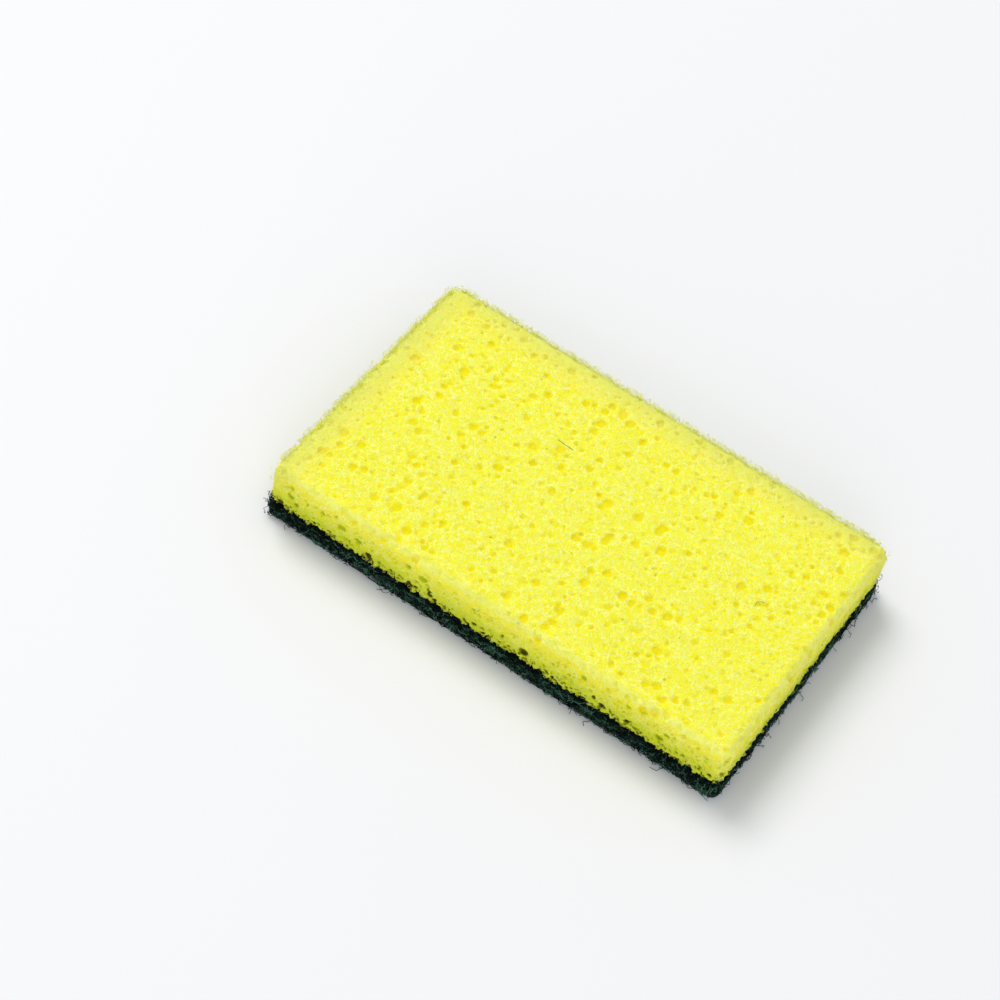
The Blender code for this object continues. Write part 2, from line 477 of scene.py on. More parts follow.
@dataclass(frozen=True)
class SpongeFinish:
    """Lemon yellow open-cell foam: pale strut webs over golden cells, with light bleeding through, painted
    glints, painted shade in pores and on the sides, and a painted highlight along the edges.
    """

    lemon: tuple = (0.94, 0.872, 0.044, 1.0)
    pale: tuple = (0.97, 0.955, 0.28, 1.0)
    # Paler cut edge with a painted highlight: brighter along the block's edges.
    pale_edge_and_highlight: tuple = (0.98, 0.98, 0.29, 1.0)
    # Painted glints: near-white specks that stand in for sparkle on the struts.
    glint: tuple = (1.0, 1.0, 0.75, 1.0)
    glint_chance: tuple = (0.91, 0.95)
    # Golden: the web's cells and patches, and also the painted shade inside pores and pore spots.
    golden: tuple = (1.0, 0.82, 0.006, 1.0)
    # Painted shade on the sides: darker and greener than the top, darkest towards the pad.
    painted_shade: tuple = (0.43, 0.55, 0.012, 1.0)
    rear: tuple = (0.72, 0.745, 0.17, 1.0)
    # Painted shade: near black in deep hollows and painted pits next to the pad.
    dark_hole_shade: tuple = (0.07, 0.065, 0.003, 1.0)
    roughness: float = 0.8
    specular: float = 0.08
    cell: float = 0.85 * MM
    spot: float = 2.3 * MM
    spot_pore_shade_share: float = 0.55
    spot_reach: tuple = (0.06, 0.36, 0.20)
    pit: float = 1.6 * MM
    pit_reach: tuple = (0.12, 0.30, 0.14)
    pit_rim: float = 0.6
    glint_spacing: float = 0.45 * MM
    relief: float = 0.16 * MM
    bleed: float = 3.4 * MM
    bleed_by_colour: tuple = (1.0, 0.85, 0.12)
    pore_shade_depth: tuple = (0.15 * MM, 0.9 * MM)
    pore_shade_share: float = 0.95
    edge_highlight_band: tuple = (2.8 * MM, 0.9 * MM)
    edge_highlight_share: float = 0.75
    side_band: tuple = (2.0 * MM, 7.0 * MM)
    rear_band: tuple = (12.0 * MM, 0.0)
    rear_loss_on_side: float = 0.85
    low_band: tuple = (8.5 * MM, 3.0 * MM)
    lowest_band: tuple = (5.2 * MM, 3.0 * MM)
    side_shade: float = 0.32
    low_shade: float = 0.44
    hollow_depth: tuple = (0.15 * MM, 0.8 * MM)
    hollow_shade: float = 0.9
    spot_shade: float = 0.6
    pit_shade: float = 0.80
    dark_depth: tuple = (0.30 * MM, 0.95 * MM)
    dark_pit: float = 0.75

    def material(self, block: "SpongeBlock") -> bpy.types.Material:
        """Build the material.

        Args:
            block: The sponge block, whose corners and edges place the colours.

        Returns:
            The material.
        """
        nodes = Shader("sponge_yellow")
        waves = nodes.node("ShaderNodeTexNoise", Vector=nodes.place, Scale=0.7 / self.cell, Detail=2.0)
        swayed = nodes.place + nodes.sway(waves, self.cell)
        edges = {"feature": "DISTANCE_TO_EDGE"}
        cells = nodes.node("ShaderNodeTexVoronoi", edges, Vector=swayed, Scale=1.0 / self.cell)
        to_strut = nodes.out(cells, "Distance")
        mottle = nodes.out(waves)
        spots = nodes.node("ShaderNodeTexVoronoi", Vector=swayed, Scale=1.0 / self.spot)
        size = nodes.parts(nodes.out(spots, "Color"))[1]
        least, rim, floor = self.spot_reach
        in_spot = nodes.ramp(nodes.out(spots, "Distance"), size * rim + least, size * floor)
        colour = self.webbed(nodes, to_strut, mottle)
        # Painted pore shade: spots that are only dented by bump, not cut in the mesh, get the golden colour
        # of a pore's inside.
        colour = nodes.mix(in_spot * self.spot_pore_shade_share, colour, self.golden)
        colour = self.placed(nodes, colour, in_spot, block)
        height = nodes.ramp(to_strut, 0.35, 0.02) + mottle * 0.8 - in_spot * 1.2
        return nodes.finish(
            Base_Color=colour,
            Roughness=self.roughness,
            Specular_IOR_Level=self.specular,
            Subsurface_Weight=1.0,
            Subsurface_Radius=self.bleed_by_colour,
            Subsurface_Scale=self.bleed,
            Normal=nodes.bump(height, self.relief, 0.8),
        )

    def webbed(self, nodes: Shader, to_strut: Wire, mottle: Wire) -> Wire:
        """Return the colours of the fine web: pale struts, golden cells and a few painted glints.

        Args:
            nodes: The material's nodes.
            to_strut: The distance from a cell's edge, 0 on a strut.
            mottle: A noise of the cells' size.

        Returns:
            The colour.
        """
        patches = nodes.noise(nodes.place, 240.0, 2.0, 0.5)
        colour = nodes.mix(nodes.ramp(to_strut, 0.12, 0.42) * 0.65, self.lemon, self.golden)
        on_strut = nodes.ramp(to_strut, 0.18, 0.02) * nodes.ramp(mottle, 0.33, 0.60)
        colour = nodes.mix(on_strut, colour, self.pale)
        colour = nodes.mix(nodes.ramp(patches, 0.46, 0.72) * 0.35, colour, self.golden)
        # Painted glints: a few bright specks on the web.
        glint_cells = nodes.node("ShaderNodeTexVoronoi", Vector=nodes.place, Scale=1.0 / self.glint_spacing)
        chance = nodes.parts(nodes.out(glint_cells, "Color"))[0]
        near = nodes.ramp(nodes.out(glint_cells, "Distance"), 0.42, 0.22)
        return nodes.mix(nodes.ramp(chance, *self.glint_chance) * near, colour, self.glint)

    def placed(self, nodes: Shader, colour: Wire, in_spot: Wire, block: "SpongeBlock") -> Wire:
        """Vary the colour over the block: painted golden shade in pores, a painted highlight along the
        edges, and painted shade on the sides, near black in holes low on the sides.

        Args:
            nodes: The material's nodes.
            colour: The web's colour.
            in_spot: How far inside one of the painted pore spots a place lies, from 0 to 1.
            block: The sponge block.

        Returns:
            The colour.
        """
        low, high, edge_radius = block.low, block.high, block.edge_radius
        x, y, z = nodes.parts(nodes.place)
        from_ends = high.x - nodes.maths("ABSOLUTE", x)
        from_sides = high.y - nodes.maths("ABSOLUTE", y)
        from_top = high.z - z
        nearer = nodes.least(from_ends, from_sides)
        flat_depth = nodes.least(from_top, nearer)
        short = (edge_radius, edge_radius, edge_radius) - nodes.joined(from_ends, from_sides, from_top)
        outside = nodes.vector("LENGTH", nodes.vector("MAXIMUM", short, (0.0, 0.0, 0.0)))
        depth = edge_radius - outside + nodes.most(flat_depth - edge_radius, 0.0)
        from_edge = from_edges(nodes, from_ends, from_sides, from_top)
        # Painted pore shade: golden, deeper inside the hollows.
        colour = nodes.mix(nodes.ramp(depth, *self.pore_shade_depth) * self.pore_shade_share, colour, self.golden)
        # Paler cut edge with a painted highlight along the block's edges.
        colour = nodes.mix(nodes.ramp(from_edge, *self.edge_highlight_band) * self.edge_highlight_share, colour, self.pale_edge_and_highlight)
        on_side = nodes.ramp(from_top, *self.side_band)
        from_rear = nodes.least(high.y - y, x - low.x)
        rear_share = nodes.ramp(from_rear, *self.rear_band, smooth=False)
        colour = nodes.mix(rear_share * (1.0 - on_side * self.rear_loss_on_side), colour, self.rear)
        low_down = nodes.ramp(z, *(low.z + height for height in self.low_band))
        lowest = nodes.ramp(z, *(low.z + height for height in self.lowest_band))
        in_painted_pit = self.painted_pits(nodes, lowest)
        hollow = nodes.ramp(depth, *self.hollow_depth)
        # Painted shade on the sides: over the whole side, in hollows and painted pores, and darker towards
        # the pad.
        pores = nodes.most(in_spot * self.spot_shade, in_painted_pit * self.pit_shade)
        plain = nodes.most(hollow * self.hollow_shade, low_down * self.low_shade + self.side_shade)
        colour = nodes.mix(on_side * nodes.most(pores, plain), colour, self.painted_shade)
        # Painted shade: near black in deep hollows and painted pits next to the pad.
        dark = nodes.most(nodes.ramp(depth, *self.dark_depth), in_painted_pit * self.dark_pit)
        return nodes.mix(lowest * dark, colour, self.dark_hole_shade)

    def painted_pits(self, nodes: Shader, lowest: Wire) -> Wire:
        """Return the painted small pores of the sides, which get painted shade and are wider next to the
        pad.

        Args:
            nodes: The material's nodes.
            lowest: How close to the pad a place lies, from 0 to 1.

        Returns:
            How far inside a pore a place lies, from 0 to 1.
        """
        made = nodes.node("ShaderNodeTexVoronoi", Vector=nodes.place, Scale=1.0 / self.pit)
        size = nodes.parts(nodes.out(made, "Color"))[2]
        least, by_chance, near_pad = self.pit_reach
        reach = size * by_chance + least + lowest * near_pad
        return nodes.ramp(nodes.out(made, "Distance"), reach, reach * self.pit_rim)


@dataclass(frozen=True)
class RimFinish:
    """The thin cut rims of the foam's cells, in pale lemon."""

    lemon: tuple = (0.93, 0.95, 0.10, 1.0)
    pale: tuple = (0.96, 0.97, 0.24, 1.0)
    roughness: float = 0.7
    specular: float = 0.08
    relief: float = 0.03 * MM

    def material(self) -> bpy.types.Material:
        """Build the material."""
        nodes = Shader("sponge_rims")
        mottle = nodes.noise(nodes.place, 900.0, 2.0, 0.6)
        relief = nodes.noise(nodes.place, 6000.0, 1.0, 0.5)
        return nodes.finish(
            Base_Color=nodes.mix(nodes.ramp(mottle, 0.40, 0.62), self.lemon, self.pale),
            Roughness=self.roughness,
            Specular_IOR_Level=self.specular,
            Normal=nodes.bump(relief, self.relief, 0.5),
        )


class Zone(Enum):
    """Where a family of cells or rims is found in the foam."""

    ALL = "all"
    EDGES = "edges"
    FACES = "faces"
    LOW = "low"


@dataclass
class PoreLayer:
    """Round cells of one family, which open through the foam's faces."""

    label: str
    spacing: float
    smallest: float
    largest: float
    shift: float
    zone: Zone = Zone.ALL


@dataclass
class SpongeBlock:
    """The sponge: a cut block of foam with round cells open in its faces."""

    low: Vector
    high: Vector
    voxel: float = 0.33 * MM
    edge_radius: float = 3.6 * MM
    skirt: float = 2.8 * MM
    ruggedness: float = 0.9 * MM
    warp: float = 1.0 * MM
    softness: float = 0.6 * MM
    lace_band: float = 1.2 * MM
    crumble: float = 1.6 * MM
    crumble_band: tuple = (3.0 * MM, 0.8 * MM)
    grain: float = 800.0
    bowl: float = 0.85 * MM
    low_bowl: float = 2.0 * MM
    low_band: tuple = (7.0 * MM, 2.0 * MM)
    low_reach: float = 3.2 * MM
    fading: float = 1.5
    bond_inset: tuple = (3.0 * MM, 3.6 * MM)
    bond_height: tuple = (2.6 * MM, 2.2 * MM)
    shut_at: float = 0.55
    shut_at_low: float = 0.50
    open_at_low: float = 0.70
    triangle_budget: int = 195_000
    layers: list[PoreLayer] = field(default_factory=lambda: [
        PoreLayer("Wide", 3.5 * MM, 0.6 * MM, 1.7 * MM, 0.0130),
        PoreLayer("Middle", 2.1 * MM, 0.4 * MM, 0.9 * MM, 0.1130),
        PoreLayer("Fine", 1.3 * MM, 0.2 * MM, 0.46 * MM, 0.2130),
        PoreLayer("Lace", 1.25 * MM, 0.45 * MM, 0.70 * MM, 0.3130, Zone.EDGES),
        PoreLayer("Low", 1.35 * MM, 0.38 * MM, 0.76 * MM, 0.4130, Zone.LOW),
    ])

    def foam(self, material: bpy.types.Material) -> bpy.types.Mesh:
        """Mesh the foam from a density that is high in the walls and low in the cells.

        Args:
            material: The foam's material.

        Returns:
            The raw mesh, with loose crumbs at its edges.
        """
        own = ("low", "high", "voxel", "edge_radius", "ruggedness", "warp", "softness", "lace_band")
        sizes = inputs_of(self, *own, "crumble", "bowl")
        for layer in self.layers:
            for name, value in inputs_of(layer, "spacing", "smallest", "largest", "shift").items():
                sizes[f"{layer.label}_{name}"] = value
        skirt = Vector((0.0, 0.0, self.skirt))
        shape = Shape("sponge_foam", Skirt=skirt, Material=material, **sizes)
        place = shape.read("GeometryNodeInputPosition")
        low, high = shape.given("Low"), shape.given("High")
        radius = shape.given("Edge_Radius")
        grain = {"Scale": self.grain, "Detail": 2.0, "Roughness": 0.6}
        wave = shape.node("ShaderNodeTexNoise", Vector=place, **grain)
        from_edge = from_edges(shape, *from_faces(shape, place, low, high))
        crumbly = shape.ramp(from_edge, *self.crumble_band) * shape.given("Crumble")
        rough = (shape.out(wave) - 0.5) * (shape.given("Ruggedness") + crumbly)
        depth = block_depth(shape, place, low - shape.given("Skirt"), high, radius)
        over_pad = shape.parts(place - low)[2]
        inside = shape.least(depth + rough, over_pad)
        bowl = shape.given("Bowl") + shape.ramp(over_pad, *self.low_band) * self.low_bowl
        beyond_bowl = depth + rough * 0.5 - bowl
        not_low = shape.most(over_pad - self.low_reach, 0.0) * self.fading
        swayed = place + shape.sway(wave, shape.given("Warp"))
        lace_free = shape.most(from_edge - shape.given("Lace_Band"), 0.0) * self.fading
        for layer in self.layers:
            walls = self.cells(shape, swayed, layer)
            if layer.zone is Zone.EDGES:
                walls = walls + lace_free
            elif layer.zone is Zone.LOW:
                walls = walls + not_low
            walls = shape.most(walls, beyond_bowl)
            inside = shape.maths("SMOOTH_MIN", inside, walls, shape.given("Softness"))
        return shape.run(fill(shape, inside, low, high, shape.given("Voxel")), "Material")

    def cells(self, shape: Shape, place: Wire, layer: PoreLayer) -> Wire:
        """Return the depth of the walls around one family of cells.

        Args:
            shape: The tree.
            place: The place that is measured.
            layer: The family.

        Returns:
            The distance to the nearest cell's wall, negative inside the cell.
        """
        spacing = shape.given(f"{layer.label}_Spacing")
        shift = shape.joined(*[shape.given(f"{layer.label}_Shift")] * 3)
        made = shape.node("ShaderNodeTexVoronoi", Vector=place + shift, Scale=1.0 / spacing)
        chance = shape.parts(shape.out(made, "Color"))[0]
        smallest = shape.given(f"{layer.label}_Smallest")
        largest = shape.given(f"{layer.label}_Largest")
        radius = smallest + (largest - smallest) * chance
        if layer.zone is not Zone.EDGES:
            low, high = shape.given("Low"), shape.given("High")
            centre = shape.out(made, "Position") - shift
            skirted = low - shape.given("Skirt")
            buried = block_depth(shape, centre, skirted, high, shape.given("Edge_Radius"))
            off_x, off_y, _ = from_faces(shape, centre, low, high)
            over_pad = shape.parts(centre - low)[2]
            inner = shape.ramp(shape.least(off_x, off_y), *self.bond_inset)
            bonded = shape.ramp(over_pad, *self.bond_height) * inner
            open_low = shape.ramp(over_pad, *self.low_band)
            shut = open_low * self.shut_at_low + self.shut_at
            opened = shape.ramp(buried / radius, shut, open_low * self.open_at_low)
            radius = radius * opened * (1.0 - bonded)
        return shape.out(made, "Distance") * spacing - radius

    def build(self, material: bpy.types.Material) -> bpy.types.Object:
        """Build the sponge as one closed piece.

        Args:
            material: The foam's material.

        Returns:
            The piece.
        """
        raw = self.foam(material)
        shell = keep_vertices(raw, largest_island(raw), material)
        mesh = thinned(shell, self.triangle_budget)
        mesh.shade_smooth()
        return new_object("sponge_foam", mesh)


@dataclass
class CellRims:
    """Thin rims of cut cells, which stand out of the foam as fine lace."""

    name: str
    zone: Zone
    density: float
    ring: tuple[float, float]
    lift: tuple[float, float]
    thickness: float
    corners: int
    seed: int
    uneven: float = 0.35 * MM
    wobble: float = 1300.0
    edge_band: tuple = (2.8 * MM, 1.2 * MM)
    foot_band: tuple = (1.2 * MM, 0.5 * MM)
    worn: float = 0.78
    worn_band: tuple = (6.0 * MM, 3.0 * MM)
    steepest_underside: float = -0.6
    low_lift: float = 0.15
    low_band: tuple = (3.0 * MM, 7.0 * MM)

    def build(self, foam: bpy.types.Object, block: SpongeBlock,
              material: bpy.types.Material) -> bpy.types.Object:
        """Build the rims on the foam's surface.

        Args:
            foam: The sponge's foam.
            block: The sponge block.
            material: The rims' material.

        Returns:
            The piece.
        """
        sizes = inputs_of(self, "density", "ring", "lift", "thickness", "corners", "uneven")
        sizes.update(inputs_of(block, "low", "high"))
        shape = Shape(self.name, Foam=foam, Material=material, **sizes)
        source = shape.node("GeometryNodeObjectInfo", Object=shape.given("Foam"))
        place = shape.read("GeometryNodeInputPosition")
        low, high = shape.given("Low"), shape.given("High")
        x, y, _ = from_faces(shape, place, low, high)
        _, from_near, over_pad = shape.parts(place - low)
        from_right, _, under_top = shape.parts(high - place)
        at_top = shape.ramp(from_edges(shape, x, y, under_top), *self.edge_band)
        at_edge = shape.most(at_top, shape.ramp(over_pad, *self.foot_band))
        shown = at_edge if self.zone is Zone.EDGES else 1.0 - at_edge
        smoother = shape.ramp(shape.least(from_near, from_right), *self.worn_band)
        shown = shown * (1.0 - smoother * self.worn)
        outward = shape.parts(shape.read("GeometryNodeInputNormal"))[2]
        shown = shown * shape.maths("GREATER_THAN", outward, self.steepest_underside)
        scattered = shape.node(
            "GeometryNodeDistributePointsOnFaces",
            Mesh=shape.out(source, "Geometry"),
            Density=shape.given("Density") * shown,
            Seed=self.seed,
        )
        chance = shape.uniform(0.0, 1.0, self.seed + 1)
        reach = shape.given("Most_Lift") - shape.given("Least_Lift")
        clear = shape.ramp(over_pad, *self.low_band) * (1.0 - self.low_lift) + self.low_lift
        lift = shape.given("Least_Lift") + reach * chance * chance * clear
        push = shape.scaled(shape.out(scattered, "Normal"), lift)
        raised = shape.read("GeometryNodeSetPosition", s0=shape.out(scattered), Offset=push)
        corners = shape.given("Corners")
        ring = shape.read("GeometryNodeCurvePrimitiveCircle", Resolution=corners, Radius=1.0)
        turn = shape.scaled(shape.uniform_vector(self.seed + 2), 2.0 * math.pi)
        size = shape.between("Ring", self.seed + 3)
        loose = shape.planted(raised, ring, turn, size)
        wave = shape.node("ShaderNodeTexNoise", Vector=place, Scale=self.wobble, Detail=1.0)
        wobbled = shape.sway(wave, shape.given("Uneven") * 2.0)
        bent = shape.read("GeometryNodeSetPosition", s0=loose, Offset=wobbled)
        mesh = shape.run(shape.tube(bent, shape.given("Thickness"), capped=False), "Material")
        mesh.shade_smooth()
        return new_object(self.name, mesh)


@dataclass(frozen=True)
class WebFinish:
    """Dark green resin-bonded fibre: each fibre has its own tone, and painted shade darkens the fibres just
    under the sponge; the core is given near-black colours as painted shade of the web's depths.
    """

    name: str
    bond: float | None = None
    # Painted shade: the band around the sponge's underside where the fibres go dark.
    shade_under_sponge_band: tuple = (0.3 * MM, -0.5 * MM)
    dark: tuple = (0.002, 0.006, 0.0045, 1.0)
    teal: tuple = (0.105, 0.285, 0.190, 1.0)
    roughness: float = 0.55
    specular: float = 0.06
    relief: float = 0.05 * MM
    bright_tones: tuple = (0.62, 0.97)
    bright_share: float = 0.92
    patch_share: float = 0.04

    def material(self) -> bpy.types.Material:
        """Build the material, with a tone for each fibre and, if the bond's height is given, painted shade
        on the fibres just under the sponge.
        """
        nodes = Shader(self.name)
        patches = nodes.noise(nodes.place, 900.0, 2.0, 0.6)
        share = nodes.ramp(patches, 0.35, 0.68)
        if self.bond is not None:
            own = nodes.node("ShaderNodeAttribute", {"attribute_name": "own"})
            tone = nodes.parts(nodes.out(own, "Vector"))[1]
            share = share * self.patch_share + nodes.ramp(tone, *self.bright_tones) * self.bright_share
            # Painted shade under the sponge: fibres near its underside go dark.
            z = nodes.parts(nodes.place)[2]
            share = share * nodes.ramp(z, *(self.bond + height for height in self.shade_under_sponge_band))
        colour = nodes.mix(share, self.dark, self.teal)
        height = nodes.noise(nodes.place, 5000.0, 1.0, 0.5)
        return nodes.finish(
            Base_Color=colour,
            Roughness=self.roughness,
            Specular_IOR_Level=self.specular,
            Normal=nodes.bump(height, self.relief, 0.6),
        )


class Region(Enum):
    """Where a layer of fibres lies on the pad."""

    WALL = "wall"
    FACE = "face"


@dataclass
class FibreLayer:
    """One family of curled fibres."""

    name: str
    region: Region
    count: int
    length: tuple[float, float]
    radius: float
    reach: tuple[float, float]
    curl: float
    curl_size: float
    points: int
    seed: int


@dataclass
class ScouringPad:
    """The pad: a dense dark web with curled fibres all over its cut edge and open face."""

    low: Vector
    high: Vector
    corner: float = 2.5 * MM
    core_inset: float = 0.9 * MM
    core_voxel: float = 0.7 * MM
    core_edge: float = 1.2 * MM
    core_lumps: float = 1.6 * MM
    core_waves: float = 450.0
    # Painted shade: the set-back core is near black, for the shade deep inside the web.
    core_shade_dark: tuple = (0.002, 0.006, 0.005, 1.0)
    core_shade_teal: tuple = (0.006, 0.018, 0.015, 1.0)
    core_budget: int = 30_000
    wall_pitch: float = 0.9
    face_depth: float = 1.1 * MM
    face_roof: float = 1.3 * MM
    clearance: float = 1.2
    overlap: float = 0.6 * MM
    overlap_band: tuple = (0.05 * MM, 0.4 * MM)
    layers: list[FibreLayer] = field(default_factory=lambda: [
        FibreLayer(
            "pad_wall_web", Region.WALL, count=2300, length=(4 * MM, 9 * MM), radius=0.10 * MM,
            reach=(0.1 * MM, 0.4 * MM), curl=2.8 * MM, curl_size=2.0 * MM, points=9, seed=11,
        ),
        FibreLayer(
            "pad_wall_fringe", Region.WALL, count=1900, length=(3 * MM, 7 * MM), radius=0.10 * MM,
            reach=(0.2 * MM, 1.5 * MM), curl=3.2 * MM, curl_size=1.7 * MM, points=9, seed=23,
        ),
        FibreLayer(
            "pad_wall_strays", Region.WALL, count=120, length=(4 * MM, 11 * MM), radius=0.09 * MM,
            reach=(2.0 * MM, 5.0 * MM), curl=4.5 * MM, curl_size=4.5 * MM, points=14, seed=37,
        ),
        FibreLayer(
            "pad_face_web", Region.FACE, count=2400, length=(9 * MM, 18 * MM), radius=0.15 * MM,
            reach=(0.1 * MM, 0.5 * MM), curl=4.5 * MM, curl_size=3.5 * MM, points=12, seed=53,
        ),
    ])

    def core(self, material: bpy.types.Material) -> bpy.types.Object:
        """Build the dense inside of the web, set back behind its fibres.

        Args:
            material: The web's material.

        Returns:
            The piece.
        """
        inset = self.core_inset
        shape = Shape(
            "pad_core",
            Low=self.low + Vector((inset, inset, inset)),
            High=self.high - Vector((inset, inset, 0.0)),
            Voxel=self.core_voxel,
            Edge_Radius=self.core_edge,
            Lumps=self.core_lumps,
            Material=material,
        )
        place = shape.read("GeometryNodeInputPosition")
        low, high = shape.given("Low"), shape.given("High")
        lumps = (shape.noise(place, self.core_waves, 2.0, 0.6) - 0.5) * shape.given("Lumps")
        inside = block_depth(shape, place, low, high, shape.given("Edge_Radius")) + lumps
        mesh = shape.run(fill(shape, inside, low, high, shape.given("Voxel")), "Material")
        return new_object("pad_core", thinned(mesh, self.core_budget))

    def fibres(self, layer: FibreLayer, material: bpy.types.Material) -> bpy.types.Object:
        """Build one layer of curled fibres as thin three-sided tubes.

        Args:
            layer: The family of fibres.
            material: Their material.

        Returns:
            The piece.
        """
        sizes = inputs_of(layer, "count", "length", "radius", "reach", "curl", "curl_size", "points")
        sizes.update(inputs_of(self, "low", "high", "corner"))
        shape = Shape(layer.name, Material=material, **sizes)
        seed = layer.seed
        anchors = self.anchors(shape, layer)
        points = shape.read("GeometryNodePoints", Count=shape.given("Count"), Position=anchors)
        marked = shape.read(
            "GeometryNodeStoreNamedAttribute",
            {"data_type": "FLOAT_VECTOR", "domain": "POINT"},
            s0=points,
            Name="own",
            Value=shape.uniform_vector(seed + 4),
        )
        line = shape.read("GeometryNodeCurvePrimitiveLine", Start=(-0.5, 0.0, 0.0), End=(0.5, 0.0, 0.0))
        resampled = shape.read("GeometryNodeResampleCurve", s0=line, Count=shape.given("Points"))
        pitch = 0.0
        if layer.region is Region.WALL:
            pitch = shape.uniform(-self.wall_pitch, self.wall_pitch, seed + 5)
        turn = shape.joined(0.0, pitch, shape.uniform(-math.pi, math.pi, seed + 6))
        loose = shape.planted(marked, resampled, turn, shape.between("Length", seed + 7))
        place = shape.read("GeometryNodeInputPosition")
        own = shape.read("GeometryNodeInputNamedAttribute", {"data_type": "FLOAT_VECTOR"}, Name="own")
        waves = 1.0 / shape.given("Curl_Size")
        wave = shape.node("ShaderNodeTexNoise", Vector=place + own, Scale=waves, Detail=1.0)
        curled = place + shape.sway(wave, shape.given("Curl") * 2.0)
        least = shape.given("Least_Reach")
        reach = least + (shape.given("Most_Reach") - least) * shape.parts(own)[0]
        kept = self.held(shape, curled, reach, layer)
        bent = shape.read("GeometryNodeSetPosition", s0=loose, Position=kept)
        mesh = shape.run(shape.tube(bent, shape.given("Radius"), capped=True), "Material")
        mesh.shade_smooth()
        return new_object(layer.name, mesh)

    def anchors(self, shape: Shape, layer: FibreLayer) -> Wire:
        """Return where the middles of the fibres lie, over the pad's wall or its open face.

        Args:
            shape: The tree.
            layer: The family of fibres.

        Returns:
            A place for each fibre.
        """
        low, high = shape.given("Low"), shape.given("High")
        half_x, half_y, _ = shape.parts((high - low) * 0.5)
        lowest = shape.parts(low)[2] + layer.radius
        seed = layer.seed
        along = shape.uniform(-1.0, 1.0, seed)
        across = shape.uniform(-1.0, 1.0, seed + 1)
        if layer.region is Region.FACE:
            highest = shape.parts(low)[2] + self.face_depth
            return shape.joined(half_x * along, half_y * across, shape.uniform(lowest, highest, seed + 3))
        chance = shape.uniform(0.0, 1.0, seed + 2)
        on_long = shape.maths("LESS_THAN", chance, half_x / (half_x + half_y))
        sign = shape.maths("SIGN", across)
        x = half_x * (on_long * along + (1.0 - on_long) * sign)
        y = half_y * (on_long * sign + (1.0 - on_long) * along)
        return shape.joined(x, y, shape.uniform(lowest, shape.parts(high)[2], seed + 3))

    def held(self, shape: Shape, place: Wire, reach: Wire, layer: FibreLayer) -> Wire:
        """Keep fibres close to the pad: near its wall, off the ground and under the sponge.

        Args:
            shape: The tree.
            place: Where a point of a fibre would be.
            reach: How far the fibre may stand out.
            layer: The family of fibres.

        Returns:
            The place that the point is given.
        """
        low, high, corner = shape.given("Low"), shape.given("High"), shape.given("Corner")
        half_x, half_y, _ = shape.parts((high - low) * 0.5)
        floor_z = shape.parts(low)[2]
        x, y, z = shape.parts(place)
        over_x = shape.most(shape.maths("ABSOLUTE", x) - half_x + corner, 0.0)
        over_y = shape.most(shape.maths("ABSOLUTE", y) - half_y + corner, 0.0)
        over = shape.maths("SQRT", over_x * over_x + over_y * over_y)
        outside = shape.most(over - corner, 0.0)
        limited = shape.maths("TANH", outside / reach) * reach
        back = (outside - limited) / shape.most(over, 1e-6)
        kept_x = x - shape.maths("SIGN", x) * over_x * back
        kept_y = y - shape.maths("SIGN", y) * over_y * back
        lowest = floor_z + layer.radius * self.clearance
        if layer.region is Region.FACE:
            roof = floor_z + self.face_roof
        else:
            raised = self.overlap * shape.ramp(outside, *self.overlap_band)
            roof = shape.parts(high)[2] - layer.radius + raised
        return shape.joined(kept_x, kept_y, shape.most(shape.least(z, roof), lowest))

    def build(self) -> list[bpy.types.Object]:
        """Build the core and every layer of fibres."""
        # Painted shade: the core's finish is near black.
        core_shade_finish = WebFinish("web_core", dark=self.core_shade_dark, teal=self.core_shade_teal).material()
        web = WebFinish("web_fibre", bond=self.high.z).material()
        return [self.core(core_shade_finish)] + [self.fibres(layer, web) for layer in self.layers]


